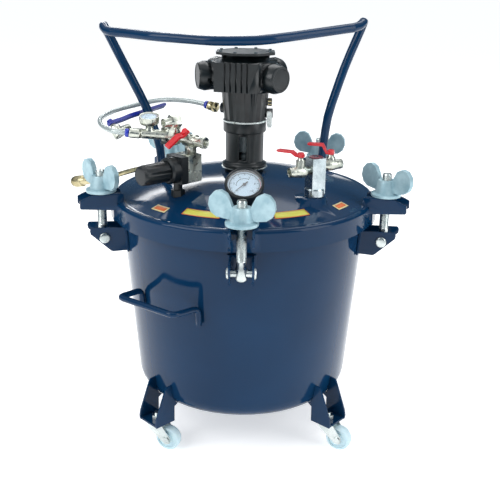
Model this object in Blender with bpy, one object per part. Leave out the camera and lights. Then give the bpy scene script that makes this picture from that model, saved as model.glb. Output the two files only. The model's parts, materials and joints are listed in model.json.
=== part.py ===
"""Resin pressure pot with an air-driven stirrer. One closed solid per physical piece, in metres, Z up.

The origin is the middle of the tank's flat underside and the front faces -Y.
"""

import math

import bmesh
import bpy
from mathutils import Matrix, Vector

# ---------------------------------------------------------------- driving dimensions (metres, degrees)
GAP = 0.0003

TANK_RIM_Z = 0.3270
TANK_TOP_R = 0.2070
TANK_BASE_R = 0.1810
TANK_CORNER_R = 0.0290
TANK_WALL = 0.0030

LID_RIM_Z = 0.3366
LID_DOME_H = 0.0370
LID_DOME_R = 0.2050
LID_FLAT_R = 0.0520
LID_SKIRT_R = 0.2185
LID_SKIRT_Z = 0.3030
LID_WALL = 0.0030
LID_FLAT_Z = LID_RIM_Z + LID_DOME_H * (1.0 - (LID_FLAT_R / LID_DOME_R) ** 2)

ROUND_STEPS = 48

CLAMP_COUNT = 5
CLAMP_FIRST_DEG = -90.0
BOLT_CIRCLE_R = 0.2390
BOLT_R = 0.0075
BOLT_TOP_Z = 0.3880
PIN_Z = 0.2790
PIN_R = 0.0055
NUT_SEAT_Z = 0.3520
NUT_TOP_Z = 0.3780
NUT_BORE_R = BOLT_R + GAP
WING_HALF_SPAN = 0.0490
WING_TURNS_DEG = (-17.0, -48.0, -15.0, -22.0, -48.0)
LUG_INNER_HALF = 0.0150
LUG_PLATE = 0.0035
EAR_INNER_HALF = 0.0155
EAR_PLATE = 0.0030

CASTER_R = 0.1970
CASTER_DEG = (-135.0, -41.5, 47.0, 135.0)
CASTER_HEADING_DEG = (-20.0, -25.0, 115.0, 60.0)
CASTER_TRAIL = 0.0210
WHEEL_R = 0.0210
WHEEL_HALF_WIDTH = 0.0090
AXLE_Z = -0.0535
AXLE_R = 0.0040
BRACKET_TOP_FACE_Z = -0.0220
BRACKET_UNDER_Z = -0.0250
BRACKET_HALF_WIDTH = 0.0225

HANDLE_TUBE_R = 0.0073
SIDE_ROD_R = 0.0050
SIDE_HANDLE_DEG = (-126.0, 54.0)

MOTOR_CAP_DEG = (-45.0, -165.0, 45.0, 135.0)
MOTOR_AXIS_Z = 0.5290
SPEED_STEM_AT = (0.0395, -0.0068, 0.4680)
SHAFT_R = 0.0042

GAUGE_CENTRE = (0.002, -0.143, 0.385)
GAUGE_TILT_DEG = 36.0
GAUGE_R = 0.0300

REGULATOR_AT = (-0.1080, -0.1040, 0.3960)
REGULATOR_DEG = -136.0
OUTLET_AT = (0.1105, -0.1080)

HOSE_R = 0.0040
HOSE_STEPS = 2
HOSE_FITTING_DEG = 155.0
# Route of the air hose, from the motor fitting round to the manifold fitting.
HOSE_ROUTE = (
    (-0.0615, 0.0290, 0.4745),
    (-0.0800, 0.0378, 0.4775),
    (-0.1054, 0.0500, 0.4786),
    (-0.1466, 0.0680, 0.4755),
    (-0.1863, 0.0660, 0.4672),
    (-0.2190, 0.0380, 0.4615),
    (-0.2320, -0.0200, 0.4590),
    (-0.2230, -0.0680, 0.4565),
    (-0.2040, -0.0965, 0.4545),
    (-0.1880, -0.1035, 0.4535),
    (-0.1745, -0.1040, 0.4525),
)

INLET_VALVE_AXIS = (0.78, -0.62, 0.0)
INLET_STEM_AXIS = (-0.30, -0.65, 0.70)
INLET_STEM_END = 0.0195
INLET_LEVER_AHEAD = (-0.0340, -0.0180, -0.0313)
INLET_ELBOW = (-0.1130, -0.0825, 0.4455)
SMALL_GAUGE_AT = (-0.1445, -0.0935, 0.4720)
BLUE_LEVER_AT = (-0.2094, -0.0500, 0.4545)
BLUE_STEM_AXIS = (-0.600, 0.360, 0.715)
BLUE_STEM_LENGTH = 0.0130
BLUE_LEVER_LENGTH = 0.1290
BLUE_LEVER_AHEAD = (0.0758, 0.1050, 0.0120)
AIR_INLET_ROUTE = (
    (-0.1850, -0.0330, 0.3760),
    (-0.2350, 0.0000, 0.3530),
    (-0.2700, 0.0210, 0.3440),
)

OUTLET_DEG = 27.0
OUTLET_HALF = 0.0115
OUTLET_BOSS_Z = 0.3585
OUTLET_TOP_Z = 0.4200
OUTLET_LEFT_Z = 0.4000
OUTLET_RIGHT_Z = 0.4060
OUTLET_LEVER_Z = 0.4225
OUTLET_LEVER_DEG = {"left": 155.0, "right": 165.0}
OUTLET_LEVER_LENGTH = {"left": 0.0390, "right": 0.0370}
OUTLET_LEVER_CRANK = {"left": 0.0050, "right": 0.0120}

PAINT = "navy_paint"
MATERIALS = {
    "navy_paint": ((0.010, 0.030, 0.095, 1.0), 0.9, 0.28),
    "galvanised": ((0.42, 0.52, 0.58, 1.0), 0.7, 0.45),
    "zinc_plate": ((0.62, 0.62, 0.60, 1.0), 1.0, 0.30),
    "black_casting": ((0.012, 0.015, 0.016, 1.0), 0.3, 0.40),
    "black_plastic": ((0.015, 0.016, 0.018, 1.0), 0.0, 0.45),
    "brass_fitting": ((0.55, 0.45, 0.25, 1.0), 1.0, 0.30),
    "nickel_fitting": ((0.60, 0.58, 0.52, 1.0), 1.0, 0.25),
    "stainless": ((0.66, 0.66, 0.65, 1.0), 1.0, 0.22),
    "red_grip": ((0.62, 0.020, 0.030, 1.0), 0.0, 0.35),
    "blue_grip": ((0.010, 0.030, 0.330, 1.0), 0.0, 0.35),
    "caster_plastic": ((0.72, 0.76, 0.77, 1.0), 0.0, 0.40),
    "hose_braid": ((0.42, 0.46, 0.46, 1.0), 0.2, 0.45),
    "gasket_rubber": ((0.020, 0.020, 0.020, 1.0), 0.0, 0.70),
    "needle_black": ((0.010, 0.010, 0.010, 1.0), 0.0, 0.50),
}


# ---------------------------------------------------------------- scene and material helpers
def clear_scene():
    for obj in list(bpy.data.objects):
        bpy.data.objects.remove(obj, do_unlink=True)


def make_material(name):
    colour, metallic, roughness = MATERIALS[name]
    found = bpy.data.materials.get(name)
    if found:
        return found
    material = bpy.data.materials.new(name)
    material.use_nodes = True
    shader = material.node_tree.nodes["Principled BSDF"]
    shader.inputs["Base Color"].default_value = colour
    shader.inputs["Metallic"].default_value = metallic
    shader.inputs["Roughness"].default_value = roughness
    return material


def solid(verts, faces, place=None):
    """A work object from points and faces, its normals turned out."""
    mesh = bpy.data.meshes.new("work")
    mesh.from_pydata([tuple(v) for v in verts], [], faces)
    shape = bmesh.new()
    shape.from_mesh(mesh)
    bmesh.ops.remove_doubles(shape, verts=shape.verts, dist=1e-6)
    bmesh.ops.recalc_face_normals(shape, faces=shape.faces)
    shape.to_mesh(mesh)
    shape.free()
    if place is not None:
        mesh.transform(place)
    obj = bpy.data.objects.new("work", mesh)
    bpy.context.scene.collection.objects.link(obj)
    return obj


def combine(target, others, operation):
    """Applies one Boolean per other object, then removes those objects."""
    for other in others:
        step = target.modifiers.new(operation.lower(), "BOOLEAN")
        step.operation = operation
        step.solver = "EXACT"
        step.object = other
        bpy.context.view_layer.update()
        graph = bpy.context.evaluated_depsgraph_get()
        mesh = bpy.data.meshes.new_from_object(target.evaluated_get(graph))
        target.modifiers.clear()
        target.data = mesh
        bpy.data.objects.remove(other, do_unlink=True)
    return target


def unite(first, *others):
    return combine(first, others, "UNION")


def cut(first, *others):
    return combine(first, others, "DIFFERENCE")


def publish(name, obj, material, pivot=(0.0, 0.0, 0.0)):
    """Names the finished piece, gives it its material and puts its origin on the pivot."""
    obj.name = name
    obj.data.name = name
    obj.data.materials.clear()
    obj.data.materials.append(make_material(material))
    obj.data.transform(Matrix.Translation(-Vector(pivot)))
    obj.location = pivot
    for polygon in obj.data.polygons:
        polygon.use_smooth = True
        polygon.material_index = 0
    obj.data.set_sharp_from_angle(angle=math.radians(32.0))
    return obj


# ---------------------------------------------------------------- placing helpers
def turned(degrees):
    return Matrix.Rotation(math.radians(degrees), 4, "Z")


def moved(x, y, z):
    return Matrix.Translation((x, y, z))


def pointing(at, axis):
    """Carries +Z onto the axis and the origin onto the point."""
    turn = Vector((0.0, 0.0, 1.0)).rotation_difference(Vector(axis).normalized())
    return Matrix.Translation(at) @ turn.to_matrix().to_4x4()


# An outline drawn in x and height, pushed sideways: (u, v, w) goes to (u, -w, v).
UPRIGHT = Matrix(((1, 0, 0, 0), (0, 0, -1, 0), (0, 1, 0, 0), (0, 0, 0, 1)))


def arc(centre, radius, start_deg, end_deg, steps, squash=1.0):
    points = []
    for i in range(steps + 1):
        a = math.radians(start_deg + (end_deg - start_deg) * i / steps)
        points.append((centre[0] + radius * math.cos(a), centre[1] + squash * radius * math.sin(a)))
    return points


# ---------------------------------------------------------------- shape helpers
def lathe(profile, steps=24, place=None):
    """Solid of revolution about Z from a closed outline of (radius, height)."""
    verts = []
    rings = []
    for radius, height in profile:
        if radius < 1e-7:
            rings.append([len(verts)])
            verts.append((0.0, 0.0, height))
            continue
        rings.append(list(range(len(verts), len(verts) + steps)))
        for k in range(steps):
            a = 2.0 * math.pi * k / steps
            verts.append((radius * math.cos(a), radius * math.sin(a), height))
    faces = []
    for i, a in enumerate(rings):
        b = rings[(i + 1) % len(rings)]
        if len(a) == 1 and len(b) == 1:
            continue
        for k in range(steps):
            n = (k + 1) % steps
            if len(a) == 1:
                faces.append((a[0], b[n], b[k]))
            elif len(b) == 1:
                faces.append((a[k], a[n], b[0]))
            else:
                faces.append((a[k], a[n], b[n], b[k]))
    return solid(verts, faces, place)


def rod(radius, low, high, steps=20, place=None):
    return lathe([(0, low), (radius, low), (radius, high), (0, high)], steps, place)


def prism(outline, low, high, place=None):
    """A flat outline in x and y pushed from one height to another."""
    count = len(outline)
    verts = [(x, y, low) for x, y in outline] + [(x, y, high) for x, y in outline]
    faces = [tuple(range(count)), tuple(range(count, 2 * count))]
    for i in range(count):
        n = (i + 1) % count
        faces.append((i, n, count + n, count + i))
    return solid(verts, faces, place)


def box(low, high, place=None):
    outline = [(low[0], low[1]), (high[0], low[1]), (high[0], high[1]), (low[0], high[1])]
    return prism(outline, low[2], high[2], place)


def hexagon(across_flats):
    radius = across_flats / math.sqrt(3.0)
    return [(radius * math.cos(math.radians(60 * i)), radius * math.sin(math.radians(60 * i))) for i in range(6)]


def tapered(outline_low, outline_high, low, high, place=None):
    """Joins two outlines with the same number of points at two heights."""
    count = len(outline_low)
    verts = [(x, y, low) for x, y in outline_low] + [(x, y, high) for x, y in outline_high]
    faces = [tuple(range(count)), tuple(range(count, 2 * count))]
    for i in range(count):
        n = (i + 1) % count
        faces.append((i, n, count + n, count + i))
    return solid(verts, faces, place)


def smooth_route(points, per_span):
    """Catmull-Rom curve through the points."""
    knots = [Vector(p) for p in points]
    knots = [2 * knots[0] - knots[1]] + knots + [2 * knots[-1] - knots[-2]]
    route = []
    for i in range(1, len(knots) - 2):
        a, b, c, d = knots[i - 1 : i + 3]
        for k in range(per_span):
            t = k / per_span
            route.append(
                0.5 * (2 * b + (c - a) * t + (2 * a - 5 * b + 4 * c - d) * t**2 + (3 * b - a - 3 * c + d) * t**3)
            )
    route.append(knots[-2])
    return route


def sweep(points, radius, sides=12):
    """A round bar along a route of points, with flat ends."""
    route = [Vector(p) for p in points]
    verts = []
    side = None
    for i, at in enumerate(route):
        ahead = route[min(i + 1, len(route) - 1)] - route[max(i - 1, 0)]
        ahead.normalize()
        if side is None:
            side = ahead.orthogonal().normalized()
        side = (side - ahead * side.dot(ahead)).normalized()
        up = ahead.cross(side)
        for k in range(sides):
            a = 2.0 * math.pi * k / sides
            verts.append(at + radius * (math.cos(a) * side + math.sin(a) * up))
    faces = [tuple(range(sides)), tuple(range(len(verts) - sides, len(verts)))]
    for i in range(len(route) - 1):
        for k in range(sides):
            n = (k + 1) % sides
            faces.append((i * sides + k, i * sides + n, (i + 1) * sides + n, (i + 1) * sides + k))
    return solid(verts, faces)


def rounded_route(points, bend, steps=5):
    """The corner points of a bent rod, each inner corner replaced by a bend."""
    corners = [Vector(p) for p in points]
    route = [corners[0]]
    for before, at, after in zip(corners, corners[1:], corners[2:]):
        back = (before - at).normalized()
        ahead = (after - at).normalized()
        reach = min(bend, 0.48 * (before - at).length, 0.48 * (after - at).length)
        start = at + back * reach
        end = at + ahead * reach
        for k in range(steps + 1):
            t = k / steps
            route.append((1 - t) ** 2 * start + 2 * t * (1 - t) * at + t**2 * end)
    route.append(corners[-1])
    return route


# ---------------------------------------------------------------- vessel
def tank_radius(z):
    """Outside radius of the tapered tank wall."""
    return TANK_BASE_R + (TANK_TOP_R - TANK_BASE_R) * z / TANK_RIM_Z


def dome_z(radius):
    """Top surface of the lid."""
    radius = max(radius, LID_FLAT_R)
    return LID_RIM_Z + LID_DOME_H * (1.0 - (radius / LID_DOME_R) ** 2)


def tank_outline(offset):
    """Outside of the tank from the axis up to the wall's top, grown by the offset."""
    corner = (tank_radius(TANK_CORNER_R) - TANK_CORNER_R, TANK_CORNER_R)
    points = [(0.0, -offset)]
    points += arc(corner, TANK_CORNER_R + offset, -90.0, 0.0, 5)
    points.append((tank_radius(0.300) + offset, 0.300))
    return points


def make_tank():
    outside = tank_outline(0.0)
    outside += [
        (0.2064, 0.3150),
        (0.2118, 0.3172),
        (0.2134, 0.3205),
        (0.2130, 0.3250),
        (0.2110, 0.3270),
    ]
    inside = [(0.2025, 0.3270), (0.2020, 0.3200)]
    inside += [(tank_radius(0.300) - TANK_WALL, 0.300)]
    corner = (tank_radius(TANK_CORNER_R) - TANK_CORNER_R, TANK_CORNER_R)
    inside += arc(corner, TANK_CORNER_R - TANK_WALL, 0.0, -90.0, 5)
    inside.append((0.0, TANK_WALL))
    publish("tank", lathe(outside + inside, ROUND_STEPS), PAINT)


def lid_lug(angle):
    """Fork of two plates and a back web that the wing nut bears down on."""
    top = NUT_SEAT_Z - GAP
    seat_arc = []
    for i in range(5):
        x = BOLT_CIRCLE_R + 0.036 * (4 - i) / 4
        z = PIN_Z + math.sqrt((top - PIN_Z) ** 2 - (x - BOLT_CIRCLE_R) ** 2)
        seat_arc.append((x, z))
    side = [
        (0.2168, 0.3235),
        (0.2735, 0.3290),
        (0.2755, 0.3310),
    ]
    side += seat_arc + [(0.2100, top), (0.2065, 0.3490), (0.2050, 0.3352), (0.2168, 0.3350)]
    plates = []
    for sign in (-1, 1):
        inner = sign * LUG_INNER_HALF
        outer = sign * (LUG_INNER_HALF + LUG_PLATE)
        plates.append(prism(side, min(inner, outer), max(inner, outer), UPRIGHT))
    half = LUG_INNER_HALF + 0.5 * LUG_PLATE
    lug = unite(box((0.2166, -half, 0.3050), (0.2225, half, 0.3440)), *plates)
    lug.data.transform(turned(angle))
    return lug


def clamp_angles():
    return [CLAMP_FIRST_DEG + 360.0 * k / CLAMP_COUNT for k in range(CLAMP_COUNT)]


def make_lid():
    dome = [(LID_FLAT_R + (LID_DOME_R - LID_FLAT_R) * i / 4, 0.0) for i in range(5)]
    dome = [(r, dome_z(r)) for r, _ in dome]
    outside = [(0.0, LID_FLAT_Z)] + dome
    outside += arc((0.2119, LID_RIM_Z - 0.0066), 0.0066, 90.0, 0.0, 4)
    outside += [(LID_SKIRT_R, LID_SKIRT_Z)]
    inside = [(LID_SKIRT_R - LID_WALL, LID_SKIRT_Z), (LID_SKIRT_R - LID_WALL, 0.3300)]
    inside += [(0.2125, LID_RIM_Z - LID_WALL)]
    inside += [(r, z - LID_WALL) for r, z in reversed(dome)]
    inside += [(0.0, LID_FLAT_Z - LID_WALL)]
    lid = lathe(outside + inside, ROUND_STEPS)
    unite(lid, outlet_boss(), *[lid_lug(angle) for angle in clamp_angles()])
    shaft_hole = rod(0.0090, 0.300, 0.400, 24)
    dip_hole = rod(0.0105, 0.300, 0.400, 24, moved(OUTLET_AT[0], OUTLET_AT[1], 0.0))
    air_hole = rod(0.0045, 0.300, 0.400, 16, moved(REGULATOR_AT[0] + 0.006, REGULATOR_AT[1] + 0.004, 0.0))
    cut(lid, shaft_hole, dip_hole, air_hole)
    publish("lid", lid, PAINT)


def make_gasket():
    low = TANK_RIM_Z + GAP
    high = LID_RIM_Z - LID_WALL - GAP
    ring = lathe([(0.2030, low), (0.2105, low), (0.2105, high), (0.2030, high)], ROUND_STEPS)
    publish("lid_gasket", ring, "gasket_rubber")


# ---------------------------------------------------------------- clamps
def wall_patch(half_width, low, high, thickness):
    """A plate curved to lie just off the tank wall."""
    columns = 6
    verts = []
    for i in range(columns + 1):
        a = -half_width + 2 * half_width * i / columns
        for z, extra in ((low, 0.0), (high, 0.0), (high, thickness), (low, thickness)):
            radius = tank_radius(z) + GAP + extra
            verts.append((radius * math.cos(a / 0.2), radius * math.sin(a / 0.2), z))
    faces = [(0, 1, 2, 3), tuple(4 * columns + k for k in range(4))]
    for i in range(columns):
        for k in range(4):
            n = (k + 1) % 4
            faces.append((4 * i + k, 4 * i + n, 4 * i + 4 + n, 4 * i + 4 + k))
    return solid(verts, faces)


def make_tank_lug(index, angle):
    """Bent bracket on the tank wall with the two ears that carry the eyebolt's pin."""
    ear = [
        (tank_radius(0.2940) + 0.0010, 0.2940),
        (0.2585, 0.2972),
        (0.2608, 0.2955),
        (0.2620, 0.2920),
        (0.2612, 0.2868),
        (0.2300, 0.2565),
        (0.2265, 0.2550),
        (tank_radius(0.2550) + 0.0010, 0.2550),
    ]
    bracket = wall_patch(0.0210, 0.2530, 0.2950, 0.0030)
    for sign in (-1, 1):
        inner = sign * EAR_INNER_HALF
        outer = sign * (EAR_INNER_HALF + EAR_PLATE)
        unite(bracket, prism(ear, min(inner, outer), max(inner, outer), UPRIGHT))
    cut(bracket, rod(PIN_R + GAP, -0.03, 0.03, 12, moved(BOLT_CIRCLE_R, 0, PIN_Z) @ UPRIGHT))
    bracket.data.transform(turned(angle))
    publish(f"tank_lug_{index}", bracket, PAINT)


def clamp_pivot(angle):
    a = math.radians(angle)
    return (BOLT_CIRCLE_R * math.cos(a), BOLT_CIRCLE_R * math.sin(a), PIN_Z)


def make_eyebolt(index, angle):
    """Rod with a boss round its cross pin; it swings outward about the pin."""
    stem = [
        (0.0, 0.2680),
        (0.0070, 0.2680),
        (0.0088, 0.2720),
        (0.0088, 0.2865),
        (BOLT_R, 0.2905),
        (BOLT_R, BOLT_TOP_Z),
        (0.0, BOLT_TOP_Z),
    ]
    bolt = lathe(stem, 14, moved(BOLT_CIRCLE_R, 0, 0))
    head = EAR_INNER_HALF + EAR_PLATE + GAP
    pin = [
        (0.0, -head - 0.0034),
        (0.0070, -head - 0.0034),
        (0.0088, -head),
        (PIN_R, -head),
        (PIN_R, head),
        (0.0088, head),
        (0.0070, head + 0.0034),
        (0.0, head + 0.0034),
    ]
    unite(bolt, lathe(pin, 12, moved(BOLT_CIRCLE_R, 0, PIN_Z) @ UPRIGHT))
    bolt.data.transform(turned(angle))
    publish(f"eyebolt_{index}", bolt, "zinc_plate", clamp_pivot(angle))


def wing_outline(sign):
    """One rounded wing, from the hub out and up."""
    lobe = [(sign * x, z) for x, z in arc((0.0325, 0.3805), 0.0165, -75.0, 165.0, 7, 0.0195 / 0.0165)]
    neck = [(sign * 0.0100, 0.3590), (sign * 0.0185, 0.3592)]
    return neck + lobe + [(sign * 0.0125, 0.3755), (sign * 0.0100, 0.3750)]


def make_wing_nut(index, angle, wing_turn):
    """Cast nut with a round flange, a tapered hub and two rounded wings."""
    hub = [
        (0.0, NUT_SEAT_Z),
        (0.0240, NUT_SEAT_Z),
        (0.0240, NUT_SEAT_Z + 0.0042),
        (0.0178, NUT_SEAT_Z + 0.0062),
        (0.0142, NUT_TOP_Z - 0.0010),
        (0.0132, NUT_TOP_Z),
        (0.0, NUT_TOP_Z),
    ]
    px, py, _ = clamp_pivot(angle)
    nut = lathe(hub, 20)
    for sign in (-1, 1):
        unite(nut, prism(wing_outline(sign), -0.0042, 0.0042, UPRIGHT))
    cut(nut, rod(NUT_BORE_R, 0.340, 0.410, 14))
    nut.data.transform(moved(px, py, 0.0) @ turned(wing_turn))
    publish(f"wing_nut_{index}", nut, "galvanised", (px, py, NUT_SEAT_Z))


# ---------------------------------------------------------------- handles
def under_lid():
    """Everything below the lid's top surface plus the gap, for trimming what stands on the lid."""
    dome = [(LID_FLAT_R + (LID_DOME_R - LID_FLAT_R) * i / 4, 0.0) for i in range(5)]
    top = [(0.0, LID_FLAT_Z + GAP)] + [(r, dome_z(r) + GAP) for r, _ in dome]
    return lathe(top + [(LID_DOME_R, 0.300), (0.0, 0.300)], ROUND_STEPS)


def make_carry_handle():
    """Bent tube: two legs on the lid's centre line and a top bar that bows to the front."""
    corners = [
        (-0.1375, 0.0000, 0.3500),
        (-0.1385, 0.0000, 0.4070),
        (-0.1599, 0.0000, 0.4730),
        (-0.1949, 0.0100, 0.5386),
        (-0.2330, 0.0330, 0.6060),
        (-0.2230, -0.0010, 0.5935),
        (-0.1968, -0.0150, 0.5929),
        (-0.1292, -0.0600, 0.5907),
        (-0.0455, -0.0930, 0.5890),
        (0.0200, -0.0930, 0.5905),
        (0.0669, -0.0700, 0.5945),
        (0.1547, -0.0150, 0.6034),
        (0.1800, -0.0010, 0.6060),
        (0.1925, 0.0330, 0.6180),
        (0.1592, 0.0100, 0.5407),
        (0.1345, 0.0000, 0.4628),
        (0.1290, 0.0000, 0.3994),
        (0.1285, 0.0000, 0.3500),
    ]
    handle = sweep(rounded_route(corners, 0.022, 2), HANDLE_TUBE_R, 10)
    publish("carry_handle", cut(handle, under_lid()), PAINT)


def make_side_handle(name, angle):
    """Bent rod with both ends turned down along the tank wall."""
    half = 0.0590

    def foot(z):
        return math.sqrt((tank_radius(z) + SIDE_ROD_R + GAP) ** 2 - half**2)

    reach = foot(0.2020) + 0.0520
    corners = [
        (foot(0.1740), -half, 0.1740),
        (foot(0.2020), -half, 0.2020),
        (reach, -half + 0.003, 0.2080),
        (reach, half - 0.003, 0.2080),
        (foot(0.2020), half, 0.2020),
        (foot(0.1740), half, 0.1740),
    ]
    handle = sweep(rounded_route(corners, 0.010, 3), SIDE_ROD_R, 10)
    handle.data.transform(turned(angle))
    publish(name, handle, PAINT)


# ---------------------------------------------------------------- casters
def tank_envelope():
    """The tank's outside grown by the gap, for cutting what is welded to it."""
    return lathe(tank_outline(GAP) + [(0.0, 0.300)], ROUND_STEPS)


def make_caster_bracket(index, angle):
    """Bottom plate between two tapered plates that meet the tank wall."""
    side = [
        (0.1780, BRACKET_UNDER_Z),
        (0.2160, BRACKET_UNDER_Z),
        (0.2170, -0.0180),
        (0.2150, -0.0080),
        (0.1960, 0.0380),
        (0.1930, 0.0420),
        (0.1700, 0.0440),
        (0.1700, 0.0060),
        (0.1775, 0.0020),
    ]
    half = BRACKET_HALF_WIDTH
    low = (0.1785, -half + 0.001, BRACKET_UNDER_Z)
    high = (0.2155, half - 0.001, BRACKET_TOP_FACE_Z)
    bracket = box(low, high)
    for sign in (-1, 1):
        inner = sign * (half - 0.0030)
        outer = sign * half
        unite(bracket, prism(side, min(inner, outer), max(inner, outer), UPRIGHT))
    cut(bracket, rod(0.0050, -0.04, 0.0, 16, moved(CASTER_R, 0, 0)))
    bracket.data.transform(turned(angle))
    publish(f"caster_bracket_{index}", cut(bracket, tank_envelope()), PAINT)


def caster_place(angle, heading):
    a = math.radians(angle)
    return moved(CASTER_R * math.cos(a), CASTER_R * math.sin(a), 0.0) @ turned(heading)


def make_caster_fork(index, angle, heading):
    """Stem with its nut, swivel housing, two arms and the axle; it swivels about the stem."""
    fork = rod(0.0047, -0.0290, -0.0100, 16)
    nut = prism(hexagon(0.0160), BRACKET_TOP_FACE_Z + GAP, BRACKET_TOP_FACE_Z + 0.0075)
    housing = lathe(
        [
            (0.0, -0.0300),
            (0.0155, -0.0300),
            (0.0165, -0.0270),
            (0.0150, BRACKET_UNDER_Z - GAP),
            (0.0, BRACKET_UNDER_Z - GAP),
        ],
        16,
    )
    arm = [
        (-0.0120, -0.0286),
        (0.0140, -0.0286),
        (0.0280, AXLE_Z + 0.0050),
        (0.0275, AXLE_Z - 0.0050),
        (0.0230, AXLE_Z - 0.0072),
        (0.0170, AXLE_Z - 0.0060),
        (-0.0120, -0.0340),
    ]
    arms = []
    for sign in (-1, 1):
        inner = sign * 0.0102
        outer = sign * 0.0122
        arms.append(prism(arm, min(inner, outer), max(inner, outer), UPRIGHT))
    bridge = box((-0.0110, -0.0112, -0.0318), (0.0128, 0.0112, -0.0290))
    axle = lathe(
        [
            (0.0, -0.0140),
            (0.0060, -0.0140),
            (0.0060, -0.0118),
            (AXLE_R, -0.0112),
            (AXLE_R, 0.0112),
            (0.0060, 0.0118),
            (0.0060, 0.0140),
            (0.0, 0.0140),
        ],
        10,
        moved(CASTER_TRAIL, 0, AXLE_Z) @ UPRIGHT,
    )
    unite(fork, nut, housing, bridge, *arms, axle)
    place = caster_place(angle, heading)
    fork.data.transform(place)
    pivot = place @ Vector((0.0, 0.0, BRACKET_UNDER_Z))
    publish(f"caster_fork_{index}", fork, "zinc_plate", tuple(pivot))


def make_caster_wheel(index, angle, heading):
    half = WHEEL_HALF_WIDTH
    profile = [
        (AXLE_R + GAP, -half),
        (0.0085, -half),
        (0.0090, -0.0058),
        (0.0160, -0.0058),
        (0.0175, -0.0082),
        (WHEEL_R, -0.0052),
        (WHEEL_R, 0.0052),
        (0.0175, 0.0082),
        (0.0160, 0.0058),
        (0.0090, 0.0058),
        (0.0085, half),
        (AXLE_R + GAP, half),
    ]
    place = caster_place(angle, heading) @ moved(CASTER_TRAIL, 0, AXLE_Z)
    wheel = lathe(profile, 20, place @ UPRIGHT)
    publish(f"caster_wheel_{index}", wheel, "caster_plastic", tuple(place @ Vector((0, 0, 0))))


# ---------------------------------------------------------------- air motor and stirrer
def ribbed_column(low_r, high_r, low, high, ribs, depth):
    """A tapered column with upright ribs."""
    lower = []
    upper = []
    for i in range(2 * ribs):
        a = math.pi * i / ribs
        inset = depth if i % 2 else 0.0
        lower.append(((low_r - inset) * math.cos(a), (low_r - inset) * math.sin(a)))
        upper.append(((high_r - inset) * math.cos(a), (high_r - inset) * math.sin(a)))
    return tapered(lower, upper, low, high)


def make_motor_pedestal():
    """Foot with a collar, and a round column with a window in its front."""
    foot = LID_FLAT_Z + GAP
    profile = [
        (0.0240, foot),
        (0.0322, foot),
        (0.0322, 0.3795),
        (0.0362, 0.3810),
        (0.0368, 0.3860),
        (0.0325, 0.3880),
        (0.0312, 0.3910),
        (0.0312, 0.4380),
        (0.0240, 0.4380),
    ]
    pedestal = lathe(profile, 24)
    window = box((-0.0085, -0.06, 0.3945), (0.0035, 0.00, 0.4340))
    publish("motor_pedestal", cut(pedestal, window), "black_casting")


def make_motor_body():
    """Ribbed column, fluted front block, four short barrels and the neck below the top cover."""
    body = ribbed_column(0.0335, 0.0392, 0.4530, 0.5120, 16, 0.0016)
    adaptor = lathe([(0, 0.4383), (0.0340, 0.4383), (0.0352, 0.4400), (0.0352, 0.4545), (0, 0.4545)], 28)
    head = lathe([(0, 0.5060), (0.0400, 0.5060), (0.0440, 0.5095), (0.0440, 0.5505), (0.0, 0.5505)], 28)
    block = prism([(-0.0360, -0.0580), (0.0360, -0.0580), (0.0360, -0.0050), (-0.0360, -0.0050)], 0.5078, 0.5528)
    for k in range(5):
        x = 0.0090 * (k - 2)
        cut(block, box((x - 0.0014, -0.0600, 0.5000), (x + 0.0014, -0.0568, 0.5600)))
    block.data.transform(turned(-14.0))
    neck = rod(0.0385, 0.5400, 0.5620, 24)
    unite(body, adaptor, head, block, neck)
    for angle in MOTOR_CAP_DEG:
        barrel = rod(0.0225, 0.0150, 0.0600, 18, pointing((0, 0, MOTOR_AXIS_Z), (1, 0, 0)))
        plate = box((0.0320, -0.0230, MOTOR_AXIS_Z - 0.0235), (0.0500, 0.0230, MOTOR_AXIS_Z + 0.0228))
        barrel.data.transform(turned(angle))
        plate.data.transform(turned(angle))
        unite(body, barrel, plate)
    port = rod(0.0085, 0.0150, 0.0420, 14, turned(HOSE_FITTING_DEG) @ pointing((0, 0, 0.4730), (1, 0, 0)))
    valve_seat = box((0.0150, -0.0065, 0.4615), (0.0455, 0.0065, 0.4745))
    exhaust = rod(0.0060, 0.0150, 0.0440, 14, pointing((0, 0, 0.4865), (1, -0.1, 0)))
    unite(body, port, valve_seat, exhaust)
    cut(body, rod(SHAFT_R + GAP, 0.4300, 0.4520, 16))
    publish("motor_body", body, "black_casting")


def make_motor_caps():
    names = ("front_right", "front_left", "rear_right", "rear_left")
    profile = [
        (0.0, 0.0603),
        (0.0230, 0.0603),
        (0.0235, 0.0690),
        (0.0205, 0.0775),
        (0.0190, 0.0785),
        (0.0, 0.0785),
    ]
    for name, angle in zip(names, MOTOR_CAP_DEG):
        cap = lathe(profile, 24, turned(angle) @ pointing((0, 0, MOTOR_AXIS_Z), (1, 0, 0)))
        publish("motor_cap_" + name, cap, "black_casting")


def make_motor_top_cover():
    cover = prism(arc((0.0, 0.0), 0.0505, 0.0, 315.0, 7), 0.5623, 0.5665, turned(22.5))
    publish("motor_top_cover", cover, "black_casting")


def make_speed_lever():
    """Small lever on the front of the motor's speed valve; it turns about the valve stem."""
    x, y, z = SPEED_STEM_AT
    boss = rod(0.0038, 0.0, 0.0048, 16, pointing(SPEED_STEM_AT, (0, -1, 0)))
    bar = [
        (x - 0.0030, z + 0.0042),
        (x + 0.0030, z + 0.0042),
        (x + 0.0046, z),
        (x + 0.0046, z - 0.0200),
        (x + 0.0034, z - 0.0220),
        (x - 0.0020, z - 0.0220),
        (x - 0.0036, z - 0.0160),
        (x - 0.0042, z),
    ]
    unite(boss, prism(bar, 0.0022, 0.0042, moved(0, y, 0) @ UPRIGHT))
    publish("speed_lever", boss, "zinc_plate", SPEED_STEM_AT)


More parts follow.
